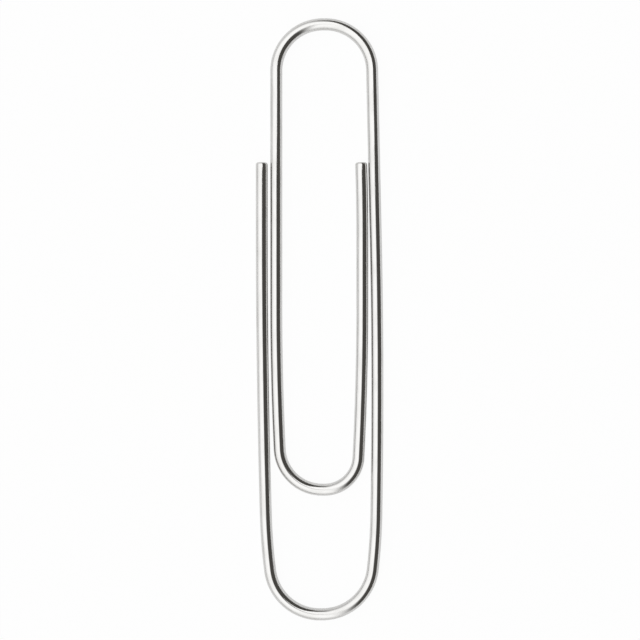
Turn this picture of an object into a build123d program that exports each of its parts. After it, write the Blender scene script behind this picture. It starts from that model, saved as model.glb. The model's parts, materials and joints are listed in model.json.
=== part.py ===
"""Large paper clip bent from one round steel wire, lying flat with its crown towards +Y."""
from build123d import *
import math
import os

# Wire and outline, millimetres
WIRE_DIAMETER = 1.0
CLIP_LENGTH = 50.0
CLIP_WIDTH = 10.6

# Clear gaps between neighbouring legs
OUTER_LEG_GAP = 0.2
INNER_LEG_GAP = 0.12

# Levels along the clip: the drops are measured down from the top of the crown,
# the heights up from the bottom bend and the standoff between tongue and bottom bend
FREE_END_DROP = 11.95
SIDE_STRAIGHT_DROP = 18.0
TONGUE_TAPER_DROP = 23.9
SHOULDER_HEIGHT = 8.8
TONGUE_STANDOFF = 9.35

# Outer leg: straight below its free end, then bowed in towards the bottom bend
OUTER_LEG_STRAIGHT = 5.6
OUTER_LEG_LEAN = 1.6

# Side leg: bowed out, leaning in by these angles at the lower and the upper end of the bow
SIDE_LOWER_LEAN = 1.0
SIDE_UPPER_LEAN = 1.25

# Bends: shoulders and tapers that lead into them, how far the tongue's tip sits off centre,
# and the short straight stretch in the middle of a bend, about which the wire twists
SHOULDER_RADIUS = 48.0
TONGUE_TAPER_RADIUS = 250.0
TONGUE_SHIFT = 0.34
TWIST_LENGTH = 0.2

# Free ends: the inner leg turns in over its last stretch, both ends have a rounded rim
END_SET_LENGTH = 6.4
END_SET_LEAN = 1.8
END_ROUND = 0.2

QUARTER_TURN = 90.0
UPRIGHT = 0.0


def sine(angle):
    """Sine of an angle in degrees."""
    return math.sin(math.radians(angle))


def cosine(angle):
    """Cosine of an angle in degrees."""
    return math.cos(math.radians(angle))


def bend_below(half_width, height, shoulder_radius, lean):
    """Radius of the half bend under a shoulder, and the lean at which the two meet.

    The shoulder starts half_width beside and height above the middle of the bend, already
    leaning in. The bend's circle touches the shoulder's circle from inside.
    """
    across = shoulder_radius * cosine(lean) - half_width
    along = height + shoulder_radius * sine(lean)
    radius = (shoulder_radius**2 - across**2 - along**2) / (2 * (shoulder_radius - along))
    meeting_lean = math.degrees(math.asin((along - radius) / (shoulder_radius - radius)))
    return radius, meeting_lean


def feed(start, heading, length):
    """Straight stretch of wire."""
    return Line(start, start + heading * length)


def bend(before, radius, angle):
    """Left-hand bend that carries on from the stretch before it."""
    return JernArc(before @ 1, before % 1, radius, angle)


def wire_along(*stretches):
    """Solid round wire along joined stretches."""
    path = Wire(stretches)
    section = Plane(origin=path @ 0, z_dir=path % 0) * Circle(WIRE_DIAMETER / 2)
    return sweep(section, path=path)


def round_free_end(leg):
    """Rounds the rim of the sheared end, the one nearest the crown."""
    rim = leg.edges().filter_by(GeomType.CIRCLE).sort_by(Axis.Y)[-1]
    return fillet(rim, END_ROUND)


# Levels of the wire's centre line
wire_height = WIRE_DIAMETER / 2
half_twist = TWIST_LENGTH / 2
crown_level = CLIP_LENGTH / 2 - WIRE_DIAMETER / 2
bottom_level = -crown_level
free_end_level = CLIP_LENGTH / 2 - FREE_END_DROP
side_straight_level = CLIP_LENGTH / 2 - SIDE_STRAIGHT_DROP
shoulder_level = -CLIP_LENGTH / 2 + SHOULDER_HEIGHT
tongue_level = bottom_level + WIRE_DIAMETER + TONGUE_STANDOFF
taper_level = CLIP_LENGTH / 2 - TONGUE_TAPER_DROP
end_set_level = free_end_level - END_SET_LENGTH

# Outer leg and side leg: the bow radii follow from their levels and leans
outer_x = -(CLIP_WIDTH - WIRE_DIAMETER) / 2
side_x = -outer_x
outer_bow_radius = (free_end_level - OUTER_LEG_STRAIGHT - shoulder_level) / sine(OUTER_LEG_LEAN)
side_bow_radius = (side_straight_level - shoulder_level) / (sine(SIDE_LOWER_LEAN) + sine(SIDE_UPPER_LEAN))
widest_level = shoulder_level + side_bow_radius * sine(SIDE_LOWER_LEAN)

# Bottom bend: it joins the two shoulders
outer_shoulder_x = outer_x + outer_bow_radius * (1 - cosine(OUTER_LEG_LEAN))
side_shoulder_x = side_x - side_bow_radius * (1 - cosine(SIDE_LOWER_LEAN))
bottom_half_width = (side_shoulder_x - outer_shoulder_x) / 2 - half_twist
shoulder_rise = shoulder_level - bottom_level
bottom_outer_radius, bottom_outer_lean = bend_below(
    bottom_half_width, shoulder_rise, SHOULDER_RADIUS, OUTER_LEG_LEAN
)
bottom_side_radius, bottom_side_lean = bend_below(
    bottom_half_width, shoulder_rise, SHOULDER_RADIUS, SIDE_LOWER_LEAN
)

# Crown: it joins the leaning top of the side leg to the upright tongue leg
tongue_x = outer_x + WIRE_DIAMETER + OUTER_LEG_GAP
side_straight_x = side_x - side_bow_radius * (1 - cosine(SIDE_UPPER_LEAN))
straight_to_top = (crown_level - side_straight_level) * sine(SIDE_UPPER_LEAN)
crown_span = (side_straight_x - tongue_x - TWIST_LENGTH) * cosine(SIDE_UPPER_LEAN) - straight_to_top
crown_radius = crown_span / (1 + cosine(SIDE_UPPER_LEAN) - sine(SIDE_UPPER_LEAN))
side_top_level = crown_level - crown_radius * (1 - sine(SIDE_UPPER_LEAN))
side_straight_length = (side_top_level - side_straight_level) / cosine(SIDE_UPPER_LEAN)

# Tongue bend: it joins the tongue leg to the inner leg, which nests inside the side leg
side_bow_drop = side_bow_radius - math.sqrt(side_bow_radius**2 - (end_set_level - widest_level) ** 2)
inner_x = side_x - side_bow_drop - WIRE_DIAMETER - INNER_LEG_GAP
tip_x = (tongue_x + inner_x) / 2 + TONGUE_SHIFT
taper_rise = taper_level - tongue_level
tip_tongue_radius, tip_tongue_lean = bend_below(
    tip_x - half_twist - tongue_x, taper_rise, TONGUE_TAPER_RADIUS, UPRIGHT
)
tip_inner_radius, tip_inner_lean = bend_below(
    inner_x - tip_x - half_twist, taper_rise, TONGUE_TAPER_RADIUS, UPRIGHT
)
end_set_radius = END_SET_LENGTH / sine(END_SET_LEAN)

# The centre line as the wire is fed and bent, from the outer free end to the inner one
down = Vector(0, -1, 0)
right = Vector(1, 0, 0)
left = -right
outer_straight = feed(Vector(outer_x, free_end_level, wire_height), down, OUTER_LEG_STRAIGHT)
outer_bow = bend(outer_straight, outer_bow_radius, OUTER_LEG_LEAN)
outer_shoulder = bend(outer_bow, SHOULDER_RADIUS, bottom_outer_lean - OUTER_LEG_LEAN)
bottom_outer = bend(outer_shoulder, bottom_outer_radius, QUARTER_TURN - bottom_outer_lean)
bottom_outer_twist = feed(bottom_outer @ 1, right, half_twist)
bottom_side_twist = feed(bottom_outer_twist @ 1, right, half_twist)
bottom_side = bend(bottom_side_twist, bottom_side_radius, QUARTER_TURN - bottom_side_lean)
side_shoulder = bend(bottom_side, SHOULDER_RADIUS, bottom_side_lean - SIDE_LOWER_LEAN)
side_lower_bow = bend(side_shoulder, side_bow_radius, SIDE_LOWER_LEAN)
side_upper_bow = bend(side_lower_bow, side_bow_radius, SIDE_UPPER_LEAN)
side_straight = feed(side_upper_bow @ 1, side_upper_bow % 1, side_straight_length)
crown_side = bend(side_straight, crown_radius, QUARTER_TURN - SIDE_UPPER_LEAN)
crown_side_twist = feed(crown_side @ 1, left, half_twist)
crown_tongue_twist = feed(crown_side_twist @ 1, left, half_twist)
crown_tongue = bend(crown_tongue_twist, crown_radius, QUARTER_TURN)
tongue_straight = feed(crown_tongue @ 1, down, crown_level - crown_radius - taper_level)
tongue_taper = bend(tongue_straight, TONGUE_TAPER_RADIUS, tip_tongue_lean)
tip_tongue = bend(tongue_taper, tip_tongue_radius, QUARTER_TURN - tip_tongue_lean)
tip_tongue_twist = feed(tip_tongue @ 1, right, half_twist)
tip_inner_twist = feed(tip_tongue_twist @ 1, right, half_twist)
tip_inner = bend(tip_inner_twist, tip_inner_radius, QUARTER_TURN - tip_inner_lean)
inner_taper = bend(tip_inner, TONGUE_TAPER_RADIUS, tip_inner_lean)
inner_straight = feed(inner_taper @ 1, inner_taper % 1, end_set_level - taper_level)
inner_end_set = bend(inner_straight, end_set_radius, END_SET_LEAN)

# Stretches of the wire; the bends are parted in the middle, where the wire twists
nodes = {
    "outer_leg": round_free_end(wire_along(outer_straight, outer_bow)),
    "bottom_bend_outer_half": wire_along(outer_shoulder, bottom_outer, bottom_outer_twist),
    "bottom_bend_side_half": wire_along(bottom_side_twist, bottom_side, side_shoulder),
    "side_leg_lower": wire_along(side_lower_bow),
    "side_leg_upper": wire_along(side_upper_bow, side_straight),
    "crown_side_half": wire_along(crown_side, crown_side_twist),
    "crown_tongue_half": wire_along(crown_tongue_twist, crown_tongue),
    "tongue_leg": wire_along(tongue_straight, tongue_taper),
    "tongue_bend_leg_half": wire_along(tip_tongue, tip_tongue_twist),
    "tongue_bend_free_half": wire_along(tip_inner_twist, tip_inner),
    "inner_leg": round_free_end(wire_along(inner_taper, inner_straight, inner_end_set)),
}

os.makedirs("parts", exist_ok=True)
for name, shape in nodes.items():
    shape.label = name
    export_step(shape, f"parts/{name}.step")
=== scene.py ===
"""Large paper clip of bright plated wire, lying flat on white paper under a softbox."""
import json
import math

import bpy
from bpy.props import FloatProperty, FloatVectorProperty, IntProperty, PointerProperty
from mathutils import Matrix, Vector

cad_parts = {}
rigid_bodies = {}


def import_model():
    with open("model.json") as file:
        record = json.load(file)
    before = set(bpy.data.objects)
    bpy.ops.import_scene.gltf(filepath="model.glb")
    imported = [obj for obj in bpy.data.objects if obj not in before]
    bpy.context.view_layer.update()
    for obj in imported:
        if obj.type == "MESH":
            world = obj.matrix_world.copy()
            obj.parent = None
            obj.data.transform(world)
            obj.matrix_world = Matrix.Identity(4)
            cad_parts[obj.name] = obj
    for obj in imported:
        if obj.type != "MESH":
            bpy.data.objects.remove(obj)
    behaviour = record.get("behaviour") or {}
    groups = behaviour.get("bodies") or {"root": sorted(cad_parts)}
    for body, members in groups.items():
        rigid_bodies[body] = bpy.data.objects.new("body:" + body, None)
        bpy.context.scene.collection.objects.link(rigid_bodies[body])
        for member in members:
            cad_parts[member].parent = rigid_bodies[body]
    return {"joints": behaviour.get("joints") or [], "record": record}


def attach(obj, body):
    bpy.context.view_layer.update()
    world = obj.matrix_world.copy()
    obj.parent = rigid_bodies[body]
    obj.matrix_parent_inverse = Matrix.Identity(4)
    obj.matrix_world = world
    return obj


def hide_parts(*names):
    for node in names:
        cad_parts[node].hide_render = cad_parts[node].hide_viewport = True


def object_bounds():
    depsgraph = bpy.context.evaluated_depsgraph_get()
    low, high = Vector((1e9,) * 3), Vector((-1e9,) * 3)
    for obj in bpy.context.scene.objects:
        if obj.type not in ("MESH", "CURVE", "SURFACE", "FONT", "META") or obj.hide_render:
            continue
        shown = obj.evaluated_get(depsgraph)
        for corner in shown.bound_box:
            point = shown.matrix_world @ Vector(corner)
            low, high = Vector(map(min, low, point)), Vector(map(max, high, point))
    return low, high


bl_info = {
    "name": "Paper clip",
    "version": (1, 0, 0),
    "blender": (4, 5, 0),
    "location": "View3D > Sidebar > Paper clip",
    "description": "Bends the plated wire of a large paper clip and sets up its studio",
    "category": "Object",
}

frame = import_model()
CAD_LOW, CAD_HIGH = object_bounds()

FINISH_NAME = "bright_plating"
TREE_NAME = "Round wire"

MILLIMETRE = 0.001
QUARTER_TURN = math.pi / 2

# Heading of a wire that runs down the clip, and lean of a leg that runs straight along it
DOWN = -QUARTER_TURN
UPRIGHT = 0.0

# Spacing of the wire's rings: along the legs, and round the bends
LEG_STEP = 0.4 * MILLIMETRE
BEND_STEP = math.radians(1.5)

# Rings of a free end: over its rounded rim, and across its sheared face down to a pinhole, whose
# size is a share of the wire's
RIM_RINGS = 8
FACE_RINGS = 10
PINHOLE = 0.01

# A hinge of the frame has to lie this close to the end of the wire that turns about it
HINGE_FIT = 0.01 * MILLIMETRE

# Names of what the points of the wire carry; the first four are dropped once it is swept
FED = "fed"
REACH = "reach"
HEADING = "heading"
RING = "ring"
STRAIGHT_PLACE = "straight_place"
SHEARED = "sheared"
BENT = "bent"

# Sheared faces: how often their grain repeats over a wire radius, its layers of detail and how
# much the finer ones count, and where the faces break away, in wire radii below the middle
SHEAR_GRAIN_SCALE = 5.0
SHEAR_GRAIN_DETAIL = 3.0
SHEAR_GRAIN_ROUGHNESS = 0.6
BREAK_STARTS = -0.35
BREAK_ENDS = 0.45

# Bake map: its name, the room kept for the flat caps, their reach in it, how near the seam a
# corner counts as on it, and the corners of a facet, of which a cap has more
BAKE_MAP = "OFBake"
CAP_ROOM = 0.04
CAP_REACH = 0.018
SEAM_WIDTH = 0.0001
FACET_CORNERS = 4


def length_property(name, description, metres):
    """A length that a user can change."""
    return FloatProperty(
        name=name, description=description, default=metres, precision=5, subtype="DISTANCE", unit="LENGTH"
    )


def angle_property(name, description, degrees):
    """An angle that a user can change."""
    return FloatProperty(
        name=name, description=description, default=math.radians(degrees), subtype="ANGLE", unit="ROTATION"
    )


def share_property(name, description, share):
    """A share from 0 to 1 that a user can change."""
    return FloatProperty(
        name=name, description=description, default=share, min=0.0, max=1.0, subtype="FACTOR"
    )


def colour_property(name, description, colour):
    """A colour that a user can change."""
    return FloatVectorProperty(
        name=name, description=description, default=colour, min=0.0, max=1.0, size=3, subtype="COLOR"
    )


def brightness_property(name, description, brightness):
    """A brightness that a user can change: 1 is white."""
    return FloatProperty(name=name, description=description, default=brightness, min=0.0, soft_max=4.0)


class ClipSizes(bpy.types.PropertyGroup):
    """Sizes of the wire and of the line that it is bent along."""

    wire_diameter: length_property("Wire diameter", "Thickness of the wire", CAD_HIGH.z - CAD_LOW.z)
    clip_length: length_property("Clip length", "Crown to bottom bend", CAD_HIGH.y - CAD_LOW.y)
    clip_width: length_property("Clip width", "Outer leg to side leg", 2 * CAD_HIGH.x)
    outer_leg_gap: length_property("Outer leg gap", "Clear gap beside the outer leg", 0.2 * MILLIMETRE)
    inner_leg_gap: length_property("Inner leg gap", "Clear gap beside the inner leg", 0.12 * MILLIMETRE)
    free_end_drop: length_property("Free end drop", "Crown down to the free ends", 11.95 * MILLIMETRE)
    side_straight_drop: length_property(
        "Side straight drop", "Crown down to where the side leg starts to bow", 18.0 * MILLIMETRE
    )
    tongue_taper_drop: length_property(
        "Tongue taper drop", "Crown down to where the tongue starts to narrow", 23.9 * MILLIMETRE
    )
    shoulder_height: length_property(
        "Shoulder height", "Bottom bend up to the shoulders above it", 8.8 * MILLIMETRE
    )
    tongue_standoff: length_property(
        "Tongue standoff", "Clear room between tongue and bottom bend", 9.35 * MILLIMETRE
    )
    outer_leg_straight: length_property(
        "Outer leg straight", "Straight stretch below the outer free end", 5.6 * MILLIMETRE
    )
    outer_leg_lean: angle_property("Outer leg lean", "Lean of the outer leg at its shoulder", 1.6)
    side_lower_lean: angle_property("Side lower lean", "Lean of the side leg at its shoulder", 1.0)
    side_upper_lean: angle_property("Side upper lean", "Lean of the side leg below the crown", 1.25)
    shoulder_radius: length_property(
        "Shoulder radius", "Radius that leads into the bottom bend", 48.0 * MILLIMETRE
    )
    tongue_taper_radius: length_property(
        "Tongue taper radius", "Radius that leads into the tongue bend", 250.0 * MILLIMETRE
    )
    tongue_shift: length_property("Tongue shift", "Tongue bend's middle off centre", 0.34 * MILLIMETRE)
    twist_length: length_property(
        "Twist length", "Straight stretch in the middle of a bend", 0.2 * MILLIMETRE
    )
    end_set_length: length_property("End set length", "Inner leg's turned-in end", 6.4 * MILLIMETRE)
    end_set_lean: angle_property("End set lean", "Lean of the inner leg's turned-in end", 1.8)
    end_round: length_property("End round", "Rounding of the free ends' rims", 0.2 * MILLIMETRE)
    shear_depth: length_property("Shear depth", "Unevenness of the sheared faces", 0.03 * MILLIMETRE)
    sides: IntProperty(name="Sides", description="Facets round the wire", default=72, min=24, max=128)


class PlatingLook(bpy.types.PropertyGroup):
    """Colours and gloss of the wire."""

    plating: colour_property("Plating", "Colour of the bright plating", (0.7, 0.695, 0.685))
    haze: colour_property("Haze", "Colour of the plating where it is hazy", (0.62, 0.615, 0.6))
    bare_steel: colour_property("Bare steel", "Colour of the sheared faces", (0.46, 0.45, 0.44))
    gloss_roughness: share_property("Gloss roughness", "Roughness of the bright plating", 0.07)
    haze_roughness: share_property("Haze roughness", "Added roughness where it is hazy", 0.06)
    shear_roughness: share_property("Shear roughness", "Added roughness of the sheared faces", 0.32)


class StageLook(bpy.types.PropertyGroup):
    """Paper, room, softbox and camera."""

    paper: colour_property("Paper", "Colour of the paper sweep", (0.9, 0.9, 0.9))
    paper_glow: share_property("Paper glow", "Share of pure white in the paper as it is seen", 0.96)
    mirrored_glow: share_property(
        "Mirrored glow", "Share of pure white in the paper as metal mirrors it", 0.5
    )
    room: colour_property("Room", "Colour of the dark side of the room", (0.084, 0.08, 0.074))
    wall_brightness: brightness_property("Wall brightness", "Pale side of the room at table height", 1.0)
    ceiling_brightness: brightness_property("Ceiling brightness", "Pale side of the room high up", 1.38)
    softbox_brightness: brightness_property("Softbox brightness", "Face of the softbox", 1.38)
    lens: FloatProperty(
        name="Lens", description="Focal length in millimetres", default=135.0, min=20.0, unit="CAMERA"
    )
    view_width: length_property("View width", "Width of the picture at the clip", 53.156 * MILLIMETRE)
    view_x: length_property("View X", "Middle of the picture, across", 0.033 * MILLIMETRE)
    view_y: length_property("View Y", "Middle of the picture, along", -0.056 * MILLIMETRE)


class Bender:
    """Feeds and bends a wire in the clip's plane, and notes the points of its centre line."""

    def __init__(self, place, heading):
        self.place = place
        self.heading = heading
        self.fed = 0.0
        self.points = [(place, 0.0, 0.0)]

    def note(self, place, fed, bent):
        """Notes a point, the wire fed up to it and how sharply it is bent there."""
        self.points.append((place, fed, bent))

    def feed(self, length):
        """Straight stretch."""
        ahead = Vector((math.cos(self.heading), math.sin(self.heading), 0.0))
        steps = math.ceil(length / LEG_STEP)
        start = self.place
        for step in range(1, steps + 1):
            gone = length * step / steps
            self.note(start + ahead * gone, self.fed + gone, 0.0)
        self.place = start + ahead * length
        self.fed += length

    def bend(self, radius, angle):
        """Left-hand bend."""
        steps = max(math.ceil(angle / BEND_STEP), math.ceil(radius * angle / LEG_STEP))
        centre = self.place + radius * Vector((-math.sin(self.heading), math.cos(self.heading), 0.0))
        for step in range(1, steps + 1):
            turned = self.heading + angle * step / steps
            self.place = centre + radius * Vector((math.sin(turned), -math.cos(turned), 0.0))
            self.note(self.place, self.fed + radius * angle * step / steps, 1.0 / radius)
        self.heading += angle
        self.fed += radius * angle

    def part(self):
        """Points since the last parting, which the next stretch carries on from."""
        points = self.points
        self.points = [(self.place, self.fed, 0.0)]
        return points


def bend_below(half_width, height, shoulder_radius, lean):
    """Radius of the half bend under a shoulder, and the lean at which the two meet."""
    across = shoulder_radius * math.cos(lean) - half_width
    along = height + shoulder_radius * math.sin(lean)
    radius = (shoulder_radius**2 - across**2 - along**2) / (2 * (shoulder_radius - along))
    meeting_lean = math.asin((along - radius) / (shoulder_radius - radius))
    return radius, meeting_lean


def bend_clip(sizes):
    """Centre lines of the four stretches of wire, from the outer free end to the inner one."""
    wire = sizes.wire_diameter
    half_twist = sizes.twist_length / 2
    top = sizes.clip_length / 2
    crown_level = top - wire / 2
    bottom_level = -crown_level
    free_end_level = top - sizes.free_end_drop
    side_straight_level = top - sizes.side_straight_drop
    shoulder_level = -top + sizes.shoulder_height
    tongue_level = bottom_level + wire + sizes.tongue_standoff
    taper_level = top - sizes.tongue_taper_drop
    end_set_level = free_end_level - sizes.end_set_length
    lower_lean = sizes.side_lower_lean
    upper_lean = sizes.side_upper_lean

    # Outer leg and side leg
    side_x = (sizes.clip_width - wire) / 2
    outer_x = -side_x
    bow_height = free_end_level - sizes.outer_leg_straight - shoulder_level
    outer_bow_radius = bow_height / math.sin(sizes.outer_leg_lean)
    side_bow_height = side_straight_level - shoulder_level
    side_bow_radius = side_bow_height / (math.sin(lower_lean) + math.sin(upper_lean))
    widest_level = shoulder_level + side_bow_radius * math.sin(lower_lean)

    # Bottom bend
    outer_shoulder_x = outer_x + outer_bow_radius * (1 - math.cos(sizes.outer_leg_lean))
    side_shoulder_x = side_x - side_bow_radius * (1 - math.cos(lower_lean))
    bottom_half_width = (side_shoulder_x - outer_shoulder_x) / 2 - half_twist
    shoulder_rise = shoulder_level - bottom_level
    bottom_outer_radius, bottom_outer_lean = bend_below(
        bottom_half_width, shoulder_rise, sizes.shoulder_radius, sizes.outer_leg_lean
    )
    bottom_side_radius, bottom_side_lean = bend_below(
        bottom_half_width, shoulder_rise, sizes.shoulder_radius, lower_lean
    )

    # Crown
    tongue_x = outer_x + wire + sizes.outer_leg_gap
    side_straight_x = side_x - side_bow_radius * (1 - math.cos(upper_lean))
    straight_to_top = (crown_level - side_straight_level) * math.sin(upper_lean)
    apart = side_straight_x - tongue_x - sizes.twist_length
    crown_span = apart * math.cos(upper_lean) - straight_to_top
    crown_radius = crown_span / (1 + math.cos(upper_lean) - math.sin(upper_lean))
    side_top_level = crown_level - crown_radius * (1 - math.sin(upper_lean))
    side_straight_length = (side_top_level - side_straight_level) / math.cos(upper_lean)

    # Tongue bend and inner leg
    bow_drop = side_bow_radius - math.sqrt(side_bow_radius**2 - (end_set_level - widest_level) ** 2)
    inner_x = side_x - bow_drop - wire - sizes.inner_leg_gap
    tip_x = (tongue_x + inner_x) / 2 + sizes.tongue_shift
    taper_rise = taper_level - tongue_level
    tip_tongue_radius, tip_tongue_lean = bend_below(
        tip_x - half_twist - tongue_x, taper_rise, sizes.tongue_taper_radius, UPRIGHT
    )
    tip_inner_radius, tip_inner_lean = bend_below(
        inner_x - tip_x - half_twist, taper_rise, sizes.tongue_taper_radius, UPRIGHT
    )

    bender = Bender(Vector((outer_x, free_end_level, wire / 2)), DOWN)
    bender.feed(sizes.outer_leg_straight)
    bender.bend(outer_bow_radius, sizes.outer_leg_lean)
    bender.bend(sizes.shoulder_radius, bottom_outer_lean - sizes.outer_leg_lean)
    bender.bend(bottom_outer_radius, QUARTER_TURN - bottom_outer_lean)
    bender.feed(half_twist)
    outer_arm = bender.part()

    bender.feed(half_twist)
    bender.bend(bottom_side_radius, QUARTER_TURN - bottom_side_lean)
    bender.bend(sizes.shoulder_radius, bottom_side_lean - lower_lean)
    bender.bend(side_bow_radius, lower_lean + upper_lean)
    bender.feed(side_straight_length)
    bender.bend(crown_radius, QUARTER_TURN - upper_lean)
    bender.feed(half_twist)
    side_loop = bender.part()

    bender.feed(half_twist)
    bender.bend(crown_radius, QUARTER_TURN)
    bender.feed(crown_level - crown_radius - taper_level)
    bender.bend(sizes.tongue_taper_radius, tip_tongue_lean)
    bender.bend(tip_tongue_radius, QUARTER_TURN - tip_tongue_lean)
    bender.feed(half_twist)
    tongue = bender.part()

    bender.feed(half_twist)
    bender.bend(tip_inner_radius, QUARTER_TURN - tip_inner_lean)
    bender.bend(sizes.tongue_taper_radius, tip_inner_lean)
    bender.feed(end_set_level - taper_level)
    bender.bend(sizes.end_set_length / math.sin(sizes.end_set_lean), sizes.end_set_lean)
    inner_arm = bender.part()

    return {"outer_arm": outer_arm, "side_loop": side_loop, "tongue": tongue, "inner_arm": inner_arm}


def free_end_rings(sizes):
    """Rings of a free end from the pinhole out over the rim: setback, reach and share of shear."""
    radius = sizes.wire_diameter / 2
    face_reach = (radius - sizes.end_round) / radius
    rings = []
    for ring in range(FACE_RINGS):
        outward = ring / FACE_RINGS
        rings.append((0.0, PINHOLE + (face_reach - PINHOLE) * outward, 1.0))
    for ring in range(RIM_RINGS):
        turned = QUARTER_TURN * ring / RIM_RINGS
        setback = sizes.end_round * (1 - math.cos(turned))
        reach = face_reach + sizes.end_round / radius * math.sin(turned)
        rings.append((setback, reach, 1.0 - ring / RIM_RINGS))
    return rings


def wire_guide(name, points, sizes, free_end):
    """Polyline of a stretch of wire, whose points carry what its rings need."""
    places = [place for place, fed, bent in points]
    fed = [fed for place, fed, bent in points]
    bent = [bent * sizes.wire_diameter / 2 for place, fed, bent in points]
    reach = [1.0] * len(points)
    sheared = [0.0] * len(points)
    if free_end == "last":
        places.reverse()
        fed.reverse()
        bent.reverse()
    if free_end:
        inward = (places[1] - places[0]).normalized()
        end_place = places[0]
        end_fed = fed[0]
        fed_step = (fed[1] - fed[0]) / (places[1] - places[0]).length
        while (places[0] - end_place).length < sizes.end_round:
            for values in (places, fed, bent, reach, sheared):
                values.pop(0)
        # Each ring lies a trace deeper than the one before it, so that no two share a place
        rings = free_end_rings(sizes)
        sink = sizes.end_round / len(rings) / len(rings)
        rows = []
        for index, (setback, share, cut) in enumerate(rings):
            rows.append((setback + sink * index, share, cut))
        places[:0] = [end_place + inward * setback for setback, share, cut in rows]
        fed[:0] = [end_fed + fed_step * setback for setback, share, cut in rows]
        bent[:0] = [0.0] * len(rows)
        reach[:0] = [share for setback, share, cut in rows]
        sheared[:0] = [cut for setback, share, cut in rows]
    mesh = bpy.data.meshes.new(name)
    mesh.from_pydata(places, [(index, index + 1) for index in range(len(places) - 1)], [])
    for title, values in ((FED, fed), (REACH, reach), (SHEARED, sheared), (BENT, bent)):
        mesh.attributes.new(title, "FLOAT", "POINT").data.foreach_set("value", values)
    guide = bpy.data.objects.new(name, mesh)
    bpy.context.scene.collection.objects.link(guide)
    return guide


def add_node(tree, kind, settings, sockets):
    """Adds a node: its settings first, then the values or links of its sockets."""
    node = tree.nodes.new(kind)
    for name, value in settings.items():
        setattr(node, name, value)
    for name, value in sockets.items():
        if isinstance(value, bpy.types.NodeSocket):
            tree.links.new(value, node.inputs[name])
        else:
            node.inputs[name].default_value = value
    return node


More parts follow.
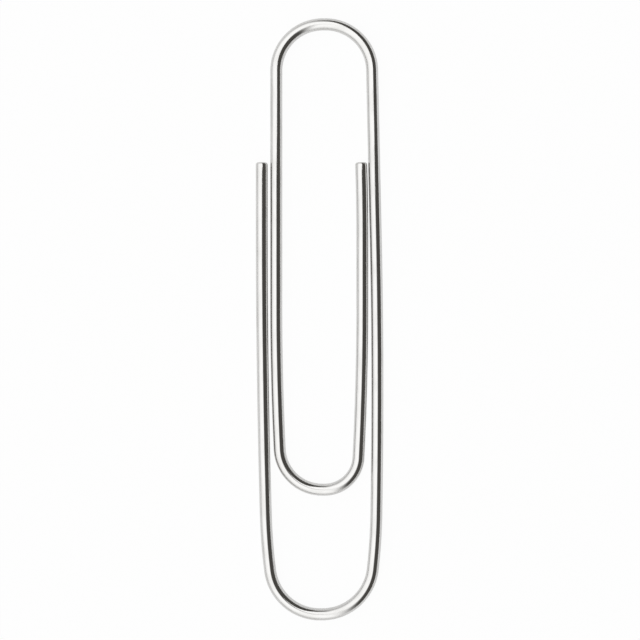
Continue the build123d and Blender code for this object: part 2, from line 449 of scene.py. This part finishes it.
class WireTree:
    """Node tree that sweeps a round wire along a guide."""

    INPUTS = (
        ("Wire Diameter", "NodeSocketFloat"),
        ("Sides", "NodeSocketInt"),
        ("Shear Depth", "NodeSocketFloat"),
        ("Finish", "NodeSocketMaterial"),
    )

    def __init__(self):
        self.tree = bpy.data.node_groups.new(TREE_NAME, "GeometryNodeTree")
        face = self.tree.interface
        face.new_socket("Guide", in_out="INPUT", socket_type="NodeSocketGeometry")
        self.identifiers = {}
        for name, kind in self.INPUTS:
            self.identifiers[name] = face.new_socket(name, in_out="INPUT", socket_type=kind).identifier
        face.new_socket("Wire", in_out="OUTPUT", socket_type="NodeSocketGeometry")
        self.build()

    def add(self, kind, settings, sockets, output=0):
        """Adds a node and gives one of its outputs."""
        node = add_node(self.tree, kind, settings, sockets)
        return node.outputs[output] if node.outputs else None

    def math(self, operation, first, second):
        return self.add("ShaderNodeMath", {"operation": operation}, {0: first, 1: second})

    def carried(self, name, kind="FLOAT"):
        """What the points carry under a name."""
        return self.add("GeometryNodeInputNamedAttribute", {"data_type": kind}, {"Name": name})

    def store(self, geometry, name, value, kind):
        """Has the points carry a value under a name."""
        settings = {"data_type": kind, "domain": "POINT"}
        sockets = {"Geometry": geometry, "Name": name, "Value": value}
        return self.add("GeometryNodeStoreNamedAttribute", settings, sockets)

    def build(self):
        """Sweeps the wire, shears its free end and gives it its finish."""
        given = self.tree.nodes.new("NodeGroupInput").outputs
        line = self.add("GeometryNodeMeshToCurve", {}, {"Mesh": given["Guide"]})
        line = self.add("GeometryNodeSetCurveNormal", {"mode": "Z_UP"}, {"Curve": line})
        heading = self.add("GeometryNodeInputTangent", {}, {})
        line = self.store(line, HEADING, heading, "FLOAT_VECTOR")
        circle = {"Resolution": given["Sides"], "Radius": 1.0}
        ring = self.add("GeometryNodeCurvePrimitiveCircle", {}, circle)
        ring = self.store(ring, RING, self.add("GeometryNodeInputPosition", {}, {}), "FLOAT_VECTOR")
        radius = self.math("MULTIPLY", given["Wire Diameter"], 0.5)
        scale = self.math("MULTIPLY", self.carried(REACH), radius)
        sweep = {"Curve": line, "Profile Curve": ring, "Scale": scale, "Fill Caps": True}
        wire = self.add("GeometryNodeCurveToMesh", {}, sweep)

        # Where each point was while the wire was still straight, in wire radii
        ring_x = self.add("ShaderNodeSeparateXYZ", {}, {0: self.carried(RING, "FLOAT_VECTOR")}, "X")
        ring_y = self.add("ShaderNodeSeparateXYZ", {}, {0: self.carried(RING, "FLOAT_VECTOR")}, "Y")
        across = self.math("MULTIPLY", ring_x, self.carried(REACH))
        downward = self.math("MULTIPLY", ring_y, self.carried(REACH))
        along = self.math("DIVIDE", self.carried(FED), radius)
        straight = self.add("ShaderNodeCombineXYZ", {}, {"X": across, "Y": downward, "Z": along})
        wire = self.store(wire, STRAIGHT_PLACE, straight, "FLOAT_VECTOR")

        # The sheared face: it is grainy, and breaks away below the middle; each takes half of the depth
        grain = self.add(
            "ShaderNodeTexNoise",
            {},
            {
                "Vector": straight,
                "Scale": SHEAR_GRAIN_SCALE,
                "Detail": SHEAR_GRAIN_DETAIL,
                "Roughness": SHEAR_GRAIN_ROUGHNESS,
            },
        )
        broken = self.add(
            "ShaderNodeMapRange",
            {"interpolation_type": "SMOOTHSTEP"},
            {
                "Value": downward,
                "From Min": BREAK_STARTS,
                "From Max": BREAK_ENDS,
                "To Min": 0.0,
                "To Max": 1.0,
            },
        )
        torn = self.math("MULTIPLY", self.math("ADD", broken, grain), self.carried(SHEARED))
        depth = self.math("MULTIPLY", torn, self.math("MULTIPLY", given["Shear Depth"], 0.5))
        offset = self.add(
            "ShaderNodeVectorMath",
            {"operation": "SCALE"},
            {0: self.carried(HEADING, "FLOAT_VECTOR"), "Scale": depth},
        )
        wire = self.add("GeometryNodeSetPosition", {}, {"Geometry": wire, "Offset": offset})

        # The flat ends inside the bends have sharp rims, so that the wire runs on smoothly there
        turn = self.add("GeometryNodeInputMeshEdgeAngle", {}, {})
        rim = self.math("GREATER_THAN", turn, QUARTER_TURN / 2)
        sharp = {"Geometry": wire, "Selection": rim, "Shade Smooth": False}
        wire = self.add("GeometryNodeSetShadeSmooth", {"domain": "EDGE"}, sharp)
        for name in (HEADING, RING, FED, REACH):
            wire = self.add("GeometryNodeRemoveAttribute", {}, {"Geometry": wire, "Name": name})
        wire = self.add("GeometryNodeRealizeInstances", {}, {"Geometry": wire})
        wire = self.add("GeometryNodeSetMaterial", {}, {"Geometry": wire, "Material": given["Finish"]})
        self.add("NodeGroupOutput", {}, {"Wire": wire})


def sweep_wire(guide, sizes, finish):
    """Turns a guide into a plain mesh of round wire."""
    tree = WireTree()
    sweep = guide.modifiers.new(TREE_NAME, "NODES")
    sweep.node_group = tree.tree
    sweep[tree.identifiers["Wire Diameter"]] = sizes.wire_diameter
    sweep[tree.identifiers["Sides"]] = sizes.sides
    sweep[tree.identifiers["Shear Depth"]] = sizes.shear_depth
    sweep[tree.identifiers["Finish"]] = finish
    graph = bpy.context.evaluated_depsgraph_get()
    mesh = bpy.data.meshes.new_from_object(guide.evaluated_get(graph))
    guide.modifiers.clear()
    guide.data = mesh
    return guide


# Noise: how much its finer layers count, and the value that it lies about
NOISE_ROUGHNESS = 0.55
NOISE_MIDDLE = 0.5

# Sockets of a Mix node that take its two colours, and the one that gives their mix
MIX_FIRST = 6
MIX_SECOND = 7
MIX_RESULT = 2


class Shade:
    """A shader socket that takes part in Python arithmetic."""

    def __init__(self, recipe, socket):
        self.recipe = recipe
        self.socket = socket

    def math(self, operation, first, second):
        return self.recipe.add("ShaderNodeMath", {"operation": operation}, {0: first, 1: second})

    def __add__(self, other):
        return self.math("ADD", self, other)

    def __radd__(self, other):
        return self.math("ADD", other, self)

    def __sub__(self, other):
        return self.math("SUBTRACT", self, other)

    def __rsub__(self, other):
        return self.math("SUBTRACT", other, self)

    def __mul__(self, other):
        return self.math("MULTIPLY", self, other)

    def __rmul__(self, other):
        return self.math("MULTIPLY", other, self)

    def __pow__(self, other):
        return self.math("POWER", self, other)


class Recipe:
    """Nodes of one material or of the world."""

    def __init__(self, owner):
        owner.use_nodes = True
        self.tree = owner.node_tree
        self.tree.nodes.clear()

    def add(self, kind, settings, sockets, output=0):
        """Adds a node and gives one of its outputs, ready for arithmetic."""
        plain = {}
        for name, value in sockets.items():
            plain[name] = value.socket if isinstance(value, Shade) else value
        node = add_node(self.tree, kind, settings, plain)
        return Shade(self, node.outputs[output]) if node.outputs else None

    def carried(self, name, output):
        """What the points carry under a name."""
        return self.add("ShaderNodeAttribute", {"attribute_name": name}, {}, output)

    def stretched(self, place, stretch):
        """A place multiplied axis by axis."""
        return self.add("ShaderNodeVectorMath", {"operation": "MULTIPLY"}, {0: place, 1: stretch})

    def noise(self, place, stretch, detail):
        """Noise about NOISE_MIDDLE that repeats as often as the place is stretched."""
        sockets = {
            "Vector": self.stretched(place, stretch),
            "Scale": 1.0,
            "Detail": detail,
            "Roughness": NOISE_ROUGHNESS,
        }
        return self.add("ShaderNodeTexNoise", {}, sockets, "Fac")

    def ramp(self, value, low, high):
        """0 below low, 1 above high, smooth between."""
        sockets = {"Value": value, "From Min": low, "From Max": high, "To Min": 0.0, "To Max": 1.0}
        return self.add("ShaderNodeMapRange", {"interpolation_type": "SMOOTHSTEP"}, sockets)

    def mix_colour(self, share, first, second):
        """The first colour with a share of the second."""
        sockets = {"Factor": share, MIX_FIRST: first, MIX_SECOND: second}
        return self.add("ShaderNodeMix", {"data_type": "RGBA"}, sockets, MIX_RESULT)


def opaque(colour):
    """A colour with its alpha."""
    return (*colour, 1.0)


def grey(brightness):
    """A grey with its alpha."""
    return (brightness, brightness, brightness, 1.0)


WHITE = grey(1.0)


# Marks on the wire: how often they repeat over a wire radius, across, up and along the wire as
# it was when straight, and their layers of detail
DIE_LINES = ((16.0, 16.0, 0.04), 4.0)
FINE_LINES = ((55.0, 55.0, 0.15), 2.0)
RIPPLE = ((1.4, 1.4, 0.5), 1.0)
HAZE = ((1.1, 1.1, 0.22), 3.0)
SCUFFS = ((2.2, 9.0, 7.0), 3.0)
BLADE_MARKS = ((24.0, 1.6, 0.0), 3.0)
TORN_GRAIN = ((14.0, 14.0, 14.0), 4.0)
PITS = (3.0, 3.0, 1.6)

# Values between which each of these comes in or, for the pits, goes out
SHEARED_RANGE = (0.55, 0.95)
BENT_RANGE = (0.03, 0.12)
HAZE_RANGE = (0.42, 0.72)
SCUFF_RANGE = (0.62, 0.8)
PIT_RANGE = (0.03, 0.09)
TORN_RANGE = (-0.35, 0.1)

# Shares: of the scuffs on the straight stretches, of the haze in what dulls the plating, of bare
# steel in a pit, and of the burnish between the blade's marks
STRAIGHT_SCUFFS = 0.35
HAZE_SHARE = 0.8
PIT_SHARE = 0.5
BURNISH_SHARE = 0.4

# Roughness: how far it varies over the fine lines, and in shares of the sheared faces' roughness
# what they have all over and what the torn grain adds
LINE_ROUGHNESS = 0.08
BURNISHED_ROUGHNESS = 0.4
TORN_ROUGHNESS = 0.8

# Heights and depths of the marks, in bump steps
BUMP_STEP = 0.0006 * MILLIMETRE
DIE_LINE_HEIGHT = 1.6
FINE_LINE_HEIGHT = 0.8
RIPPLE_HEIGHT = 3.0
PIT_DEPTH = 1.5
SCUFF_DEPTH = 0.4
GRAIN_HEIGHT = 40.0
MARK_HEIGHT = 14.0


def plated_wire(look):
    """Bright plating on drawn wire, and bare steel where the wire was sheared."""
    finish = bpy.data.materials.get(FINISH_NAME)
    if finish:
        return finish
    finish = bpy.data.materials.new(FINISH_NAME)
    recipe = Recipe(finish)
    place = recipe.carried(STRAIGHT_PLACE, "Vector")
    sheared = recipe.ramp(recipe.carried(SHEARED, "Fac"), *SHEARED_RANGE)
    bent = recipe.ramp(recipe.carried(BENT, "Fac"), *BENT_RANGE)

    # Lines that the drawing die left along the wire, a light ripple, hazy rubbed stretches, scuffs,
    # most of them on the bends, and pits
    die_lines = recipe.noise(place, *DIE_LINES)
    fine_lines = recipe.noise(place, *FINE_LINES)
    ripple = recipe.noise(place, *RIPPLE)
    haze = recipe.ramp(recipe.noise(place, *HAZE), *HAZE_RANGE)
    scuffs = recipe.ramp(recipe.noise(place, *SCUFFS), *SCUFF_RANGE)
    scuffs = scuffs * (STRAIGHT_SCUFFS + (1.0 - STRAIGHT_SCUFFS) * bent)
    pits = recipe.add(
        "ShaderNodeTexVoronoi",
        {"feature": "F1"},
        {"Vector": recipe.stretched(place, PITS), "Scale": 1.0, "Randomness": 1.0},
        "Distance",
    )
    pit = 1.0 - recipe.ramp(pits, *PIT_RANGE)

    # Sheared face: burnished with upright marks where the blade went in, torn below
    downward = recipe.add("ShaderNodeSeparateXYZ", {}, {0: place}, "Y")
    torn = recipe.ramp(downward, *TORN_RANGE)
    burnished = 1.0 - torn
    marks = recipe.noise(place, *BLADE_MARKS)
    grain = recipe.noise(place, *TORN_GRAIN)

    dull = recipe.add("ShaderNodeMath", {"operation": "MAXIMUM"}, {0: haze * HAZE_SHARE, 1: scuffs})
    colour = recipe.mix_colour(dull, opaque(look.plating), opaque(look.haze))
    colour = recipe.mix_colour(pit * PIT_SHARE, colour, opaque(look.bare_steel))
    shine = burnished * (BURNISH_SHARE + (1.0 - BURNISH_SHARE) * marks)
    cut = recipe.mix_colour(shine, opaque(look.bare_steel), opaque(look.haze))
    colour = recipe.mix_colour(sheared, colour, cut)

    roughness = look.gloss_roughness + look.haze_roughness * dull
    roughness = roughness + LINE_ROUGHNESS * (fine_lines - NOISE_MIDDLE)
    tear = BURNISHED_ROUGHNESS + TORN_ROUGHNESS * grain * torn
    roughness = roughness + look.shear_roughness * sheared * tear

    lines = die_lines * DIE_LINE_HEIGHT + fine_lines * FINE_LINE_HEIGHT + ripple * RIPPLE_HEIGHT
    plain_height = lines - pit * PIT_DEPTH - scuffs * SCUFF_DEPTH
    sheared_height = grain * torn * GRAIN_HEIGHT + marks * burnished * MARK_HEIGHT
    height = (1.0 - sheared) * plain_height + sheared * sheared_height
    bump = {"Strength": 1.0, "Distance": BUMP_STEP, "Height": height}
    normal = recipe.add("ShaderNodeBump", {}, bump)
    metal = recipe.add(
        "ShaderNodeBsdfPrincipled",
        {},
        {"Base Color": colour, "Metallic": 1.0, "Roughness": roughness, "Normal": normal},
    )
    recipe.add("ShaderNodeOutputMaterial", {}, {"Surface": metal})
    return finish


def unroll(turns):
    """Shares of a turn round the wire, whose seam takes the side that the face lies on."""
    inside = [turn for turn in turns if SEAM_WIDTH < turn < 1.0 - SEAM_WIDTH]
    seam = round(sum(inside) / len(inside))
    return [turn if turn in inside else seam for turn in turns]


def lay_bake_map(mesh):
    """Unrolls the wire into one strip with its sheared end, and lays its flat caps beside that."""
    places = [item.vector for item in mesh.attributes[STRAIGHT_PLACE].data]
    middle = (min(place.z for place in places) + max(place.z for place in places)) / 2
    along = [place.z + math.copysign(1.0 - place.xy.length, place.z - middle) for place in places]
    first = min(along)
    span = max(along) - first
    layer = mesh.uv_layers.new(name=BAKE_MAP)
    for face in mesh.polygons:
        corners = list(zip(face.loop_indices, face.vertices))
        if len(corners) > FACET_CORNERS:
            beside = CAP_ROOM / 2 if places[face.vertices[0]].z < middle else 1.0 - CAP_ROOM / 2
            cap_middle = Vector((beside, 1.0 - CAP_ROOM / 2))
            for corner, vertex in corners:
                layer.uv[corner].vector = cap_middle + places[vertex].xy * CAP_REACH
            continue
        turns = [math.atan2(places[vertex].y, places[vertex].x) for corner, vertex in corners]
        shares = unroll([turn / (2 * math.pi) + 0.5 for turn in turns])
        for (corner, vertex), share in zip(corners, shares):
            layer.uv[corner].vector = ((along[vertex] - first) / span, share * (1.0 - CAP_ROOM))


def make_wire(context, body, free_end=""):
    """Builds the wire of one body, which replaces that body's nodes."""
    sizes = context.scene.clip_sizes
    points = bend_clip(sizes)[body]
    guide = wire_guide(f"{body}_wire", points, sizes, free_end)
    wire = sweep_wire(guide, sizes, plated_wire(context.scene.plating_look))
    lay_bake_map(wire.data)
    for joint in frame["joints"]:
        if body in (joint["parent"], joint["child"]):
            hinge = Vector(joint["pos_m"])
            ends = (points[0][0], points[-1][0])
            if min((hinge - end).length for end in ends) > HINGE_FIT:
                raise RuntimeError(f"The wire of {body} doesn't end at the hinge {joint['name']}")
    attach(wire, body)
    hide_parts(*frame["record"]["behaviour"]["bodies"][body])


class BendOuterArm(bpy.types.Operator):
    """Bend the outer leg and its half of the bottom bend"""

    bl_idname = "paper_clip.bend_outer_arm"
    bl_label = "Bend outer arm"

    def execute(self, context):
        make_wire(context, "outer_arm", "first")
        return {"FINISHED"}


class BendSideLoop(bpy.types.Operator):
    """Bend the side leg with its halves of the bottom bend and the crown"""

    bl_idname = "paper_clip.bend_side_loop"
    bl_label = "Bend side loop"

    def execute(self, context):
        make_wire(context, "side_loop")
        return {"FINISHED"}


class BendTongue(bpy.types.Operator):
    """Bend the tongue leg with its halves of the crown and the tongue bend"""

    bl_idname = "paper_clip.bend_tongue"
    bl_label = "Bend tongue"

    def execute(self, context):
        make_wire(context, "tongue")
        return {"FINISHED"}


class BendInnerArm(bpy.types.Operator):
    """Bend the inner leg and its half of the tongue bend"""

    bl_idname = "paper_clip.bend_inner_arm"
    bl_label = "Bend inner arm"

    def execute(self, context):
        make_wire(context, "inner_arm", "last")
        return {"FINISHED"}


# Paper sweep, metres: a flat disc whose edge curls up to a low wall; the rings of its flat
# middle are shares of its radius
PAPER_RADIUS = 1.6
PAPER_CURL = 0.15
PAPER_WALL = 0.25
PAPER_RINGS = (0.05, 0.2, 0.5)
PAPER_SECTORS = 96
CURL_STEPS = 12

# Paper's finish: how often its fibres repeat over a metre and their layers of detail, their share
# and brightness, and its own roughness and sheen
FIBRES = ((900.0, 900.0, 900.0), 3.0)
FIBRE_SHARE = 0.06
FIBRE_BRIGHTNESS = 0.8
PAPER_ROUGHNESS = 0.9
PAPER_SHEEN = 0.2

# Softbox: its height over the paper in metres, in shares of that its size and its right front
# corner, and its turn about that corner
SOFTBOX_HEIGHT = 0.5
SOFTBOX_WIDTH = 0.6
SOFTBOX_DEPTH = 1.0
SOFTBOX_CORNER = (0.27, 0.11)
SOFTBOX_TURN = math.radians(5.0)

# The dark side of the room: where it faces, how far beyond straight up its edge lies, and how
# widely it fades into the pale side; both overhead, and what is added to them at table height
DARK_HEADING = math.radians(14.0)
DARK_EDGE = 0.055
DARK_RETREAT = 0.2
DARK_FADE = 0.12
DARK_SPREAD = 0.2

# Heights, from 0 at the table to 1 straight up, over which the pale side brightens
WALL_TOP = 0.05
CEILING_STARTS = 0.8

# The far wall: how much dimmer than the rest of the pale side it is at table height, and how
# squarely an outlook has to face it before it dims
FAR_WALL_DIMMING = 0.65
FAR_WALL_STARTS = 0.45

# What is nearer to the camera than this, in metres, isn't shown
CAMERA_CLEARANCE = 0.01


def white_paper(look):
    """Paper that is all but white to the eye and pale to the metal that mirrors it."""
    paper = bpy.data.materials.new("white_paper")
    recipe = Recipe(paper)
    place = recipe.add("ShaderNodeTexCoord", {}, {}, "Object")
    fibres = recipe.noise(place, *FIBRES)
    tone = recipe.mix_colour(fibres * FIBRE_SHARE, opaque(look.paper), grey(FIBRE_BRIGHTNESS))
    sheet = recipe.add(
        "ShaderNodeBsdfPrincipled",
        {},
        {"Base Color": tone, "Roughness": PAPER_ROUGHNESS, "Specular IOR Level": PAPER_SHEEN},
    )
    white = recipe.add("ShaderNodeEmission", {}, {"Color": WHITE, "Strength": 1.0})
    seen = recipe.add("ShaderNodeLightPath", {}, {}, "Is Camera Ray")
    mirrored = recipe.add("ShaderNodeLightPath", {}, {}, "Is Glossy Ray")
    through = recipe.add("ShaderNodeLightPath", {}, {}, "Is Transmission Ray")
    glow = (seen + through) * look.paper_glow + mirrored * look.mirrored_glow
    both = recipe.add("ShaderNodeMixShader", {}, {0: glow, 1: sheet, 2: white})
    recipe.add("ShaderNodeOutputMaterial", {}, {"Surface": both})
    return paper


def lay_paper(look):
    """Paper sweep under and round the clip."""
    profile = [(PAPER_RADIUS * share, 0.0) for share in PAPER_RINGS]
    for step in range(CURL_STEPS + 1):
        turned = QUARTER_TURN * step / CURL_STEPS
        flat = PAPER_RADIUS - PAPER_CURL + PAPER_CURL * math.sin(turned)
        profile.append((flat, PAPER_CURL * (1 - math.cos(turned))))
    profile.append((PAPER_RADIUS, PAPER_WALL))
    places = [(0.0, 0.0, 0.0)]
    for radius, height in profile:
        for sector in range(PAPER_SECTORS):
            angle = 2 * math.pi * sector / PAPER_SECTORS
            places.append((radius * math.cos(angle), radius * math.sin(angle), height))
    faces = []
    for sector in range(PAPER_SECTORS):
        beside = (sector + 1) % PAPER_SECTORS
        faces.append((0, 1 + sector, 1 + beside))
        for ring in range(len(profile) - 1):
            inner = 1 + ring * PAPER_SECTORS
            outer = inner + PAPER_SECTORS
            faces.append((inner + sector, outer + sector, outer + beside, inner + beside))
    mesh = bpy.data.meshes.new("paper_sweep")
    mesh.from_pydata(places, [], faces)
    mesh.shade_smooth()
    mesh.materials.append(white_paper(look))
    paper = bpy.data.objects.new("paper_sweep", mesh)
    bpy.context.scene.collection.objects.link(paper)


def hang_softbox(brightness):
    """Glowing card that faces straight down, turned about its right front corner."""
    width = SOFTBOX_WIDTH * SOFTBOX_HEIGHT
    depth = SOFTBOX_DEPTH * SOFTBOX_HEIGHT
    turn = Matrix.Rotation(SOFTBOX_TURN, 3, "Z")
    corner = SOFTBOX_HEIGHT * Vector((*SOFTBOX_CORNER, 1.0))
    rim = ((0.0, 0.0), (-width, 0.0), (-width, depth), (0.0, depth))
    mesh = bpy.data.meshes.new("softbox")
    mesh.from_pydata([corner + turn @ Vector((x, y, 0.0)) for x, y in rim], [], [(0, 1, 2, 3)])
    glow = bpy.data.materials.new("softbox")
    recipe = Recipe(glow)
    face = recipe.add("ShaderNodeEmission", {}, {"Color": WHITE, "Strength": brightness})
    recipe.add("ShaderNodeOutputMaterial", {}, {"Surface": face})
    mesh.materials.append(glow)
    softbox = bpy.data.objects.new("softbox", mesh)
    bpy.context.scene.collection.objects.link(softbox)


def paint_room(world, look):
    """A room that is dark on one side and pale on the other, where it brightens towards the ceiling."""
    recipe = Recipe(world)
    outlook = recipe.add("ShaderNodeTexCoord", {}, {}, "Generated")
    towards_dark = (math.cos(DARK_HEADING), math.sin(DARK_HEADING), 0.0)
    facing = recipe.add(
        "ShaderNodeVectorMath", {"operation": "DOT_PRODUCT"}, {0: outlook, 1: towards_dark}, "Value"
    )
    height = recipe.add("ShaderNodeSeparateXYZ", {}, {0: outlook}, "Z")
    lowness = 1.0 - height
    edge = DARK_EDGE + DARK_RETREAT * lowness
    fade = DARK_FADE + DARK_SPREAD * lowness
    dark = recipe.ramp((facing - edge) * fade**-1.0, -1.0, 1.0)
    rise = recipe.ramp(height, WALL_TOP, CEILING_STARTS)
    pale = recipe.mix_colour(rise, grey(look.wall_brightness), grey(look.ceiling_brightness))
    far = recipe.add("ShaderNodeSeparateXYZ", {}, {0: outlook}, "Y")
    dimmed = FAR_WALL_DIMMING * lowness * recipe.ramp(far, FAR_WALL_STARTS, 1.0)
    pale = recipe.mix_colour(dimmed, pale, opaque(look.room))
    tone = recipe.mix_colour(dark, pale, opaque(look.room))
    room = recipe.add("ShaderNodeBackground", {}, {"Color": tone, "Strength": 1.0})
    recipe.add("ShaderNodeOutputWorld", {}, {"Surface": room})


class SetStage(bpy.types.Operator):
    """Lay the paper, hang the softbox, paint the room and aim the camera"""

    bl_idname = "paper_clip.set_stage"
    bl_label = "Set stage"

    def execute(self, context):
        scene = context.scene
        look = scene.stage_look
        lay_paper(look)
        hang_softbox(look.softbox_brightness)
        scene.world = bpy.data.worlds.new("room")
        paint_room(scene.world, look)

        camera = bpy.data.cameras.new("camera")
        camera.lens = look.lens
        camera.clip_start = CAMERA_CLEARANCE
        distance = look.view_width * look.lens / camera.sensor_width
        above = bpy.data.objects.new("camera", camera)
        above.location = (look.view_x, look.view_y, scene.clip_sizes.wire_diameter / 2 + distance)
        scene.collection.objects.link(above)
        scene.camera = above
        scene.view_settings.view_transform = "Standard"
        return {"FINISHED"}


class ClipPanel(bpy.types.Panel):
    """Sizes and looks of the clip, and the steps that build it."""

    bl_idname = "VIEW3D_PT_paper_clip"
    bl_label = "Paper clip"
    bl_space_type = "VIEW_3D"
    bl_region_type = "UI"
    bl_category = "Paper clip"

    def draw(self, context):
        layout = self.layout
        scene = context.scene
        for group in (scene.clip_sizes, scene.plating_look, scene.stage_look):
            box = layout.box()
            for name in group.__annotations__:
                box.prop(group, name)
        for operator in OPERATORS:
            layout.operator(operator.bl_idname)


OPERATORS = (BendOuterArm, BendSideLoop, BendTongue, BendInnerArm, SetStage)
CLASSES = (ClipSizes, PlatingLook, StageLook, *OPERATORS, ClipPanel)


def register():
    for item in CLASSES:
        bpy.utils.register_class(item)
    bpy.types.Scene.clip_sizes = PointerProperty(type=ClipSizes)
    bpy.types.Scene.plating_look = PointerProperty(type=PlatingLook)
    bpy.types.Scene.stage_look = PointerProperty(type=StageLook)


def unregister():
    del bpy.types.Scene.stage_look
    del bpy.types.Scene.plating_look
    del bpy.types.Scene.clip_sizes
    for item in reversed(CLASSES):
        bpy.utils.unregister_class(item)


def main():
    """Builds the clip and its stage."""
    register()
    bpy.ops.paper_clip.bend_outer_arm()
    bpy.ops.paper_clip.bend_side_loop()
    bpy.ops.paper_clip.bend_tongue()
    bpy.ops.paper_clip.bend_inner_arm()
    bpy.ops.paper_clip.set_stage()


if __name__ == "__main__":
    main()
